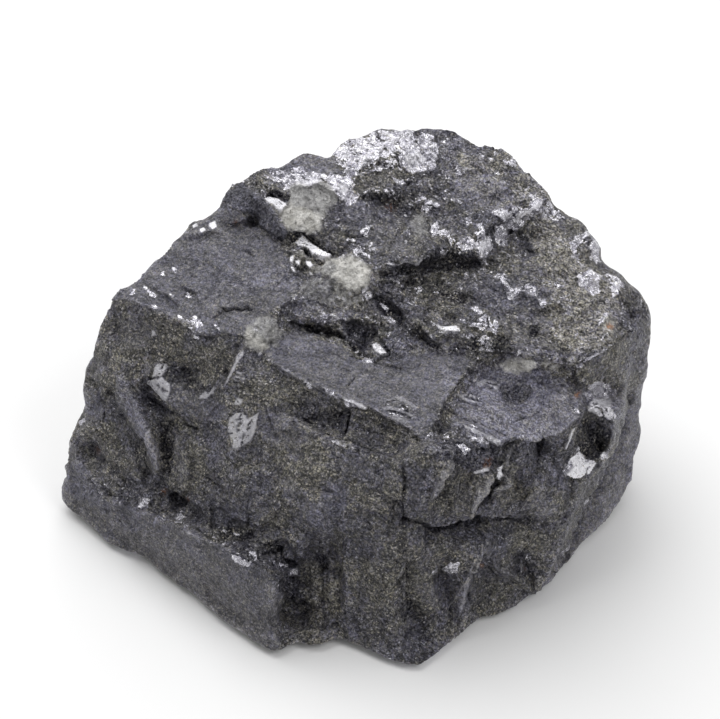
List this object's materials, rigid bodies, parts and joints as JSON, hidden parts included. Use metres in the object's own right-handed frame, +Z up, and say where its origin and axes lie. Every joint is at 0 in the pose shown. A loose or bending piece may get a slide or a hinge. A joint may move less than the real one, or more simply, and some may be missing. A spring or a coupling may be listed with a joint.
{
  "type": "galena mineral specimen",
  "caption": "Blocky, broken lump of galena with stepped cubic cleavage, a sloping top and small pale gangue patches, resting on a flat underside for display.",
  "frame": {"origin": "middle of the bounding box, on the flat underside", "axes": "+Z up from the flat underside, +Y from the sharp front corner towards the highest crest at the back, +X towards the slab on the right shoulder"},
  "size_m": [0.0966, 0.0798, 0.0515],
  "materials": {
    "galena": "broken cleavage, lead grey, metallic glints, pale gangue patches"
  },
  "bodies": {
    "root": {"galena_mass": "galena"}
  },
  "joints": []
}
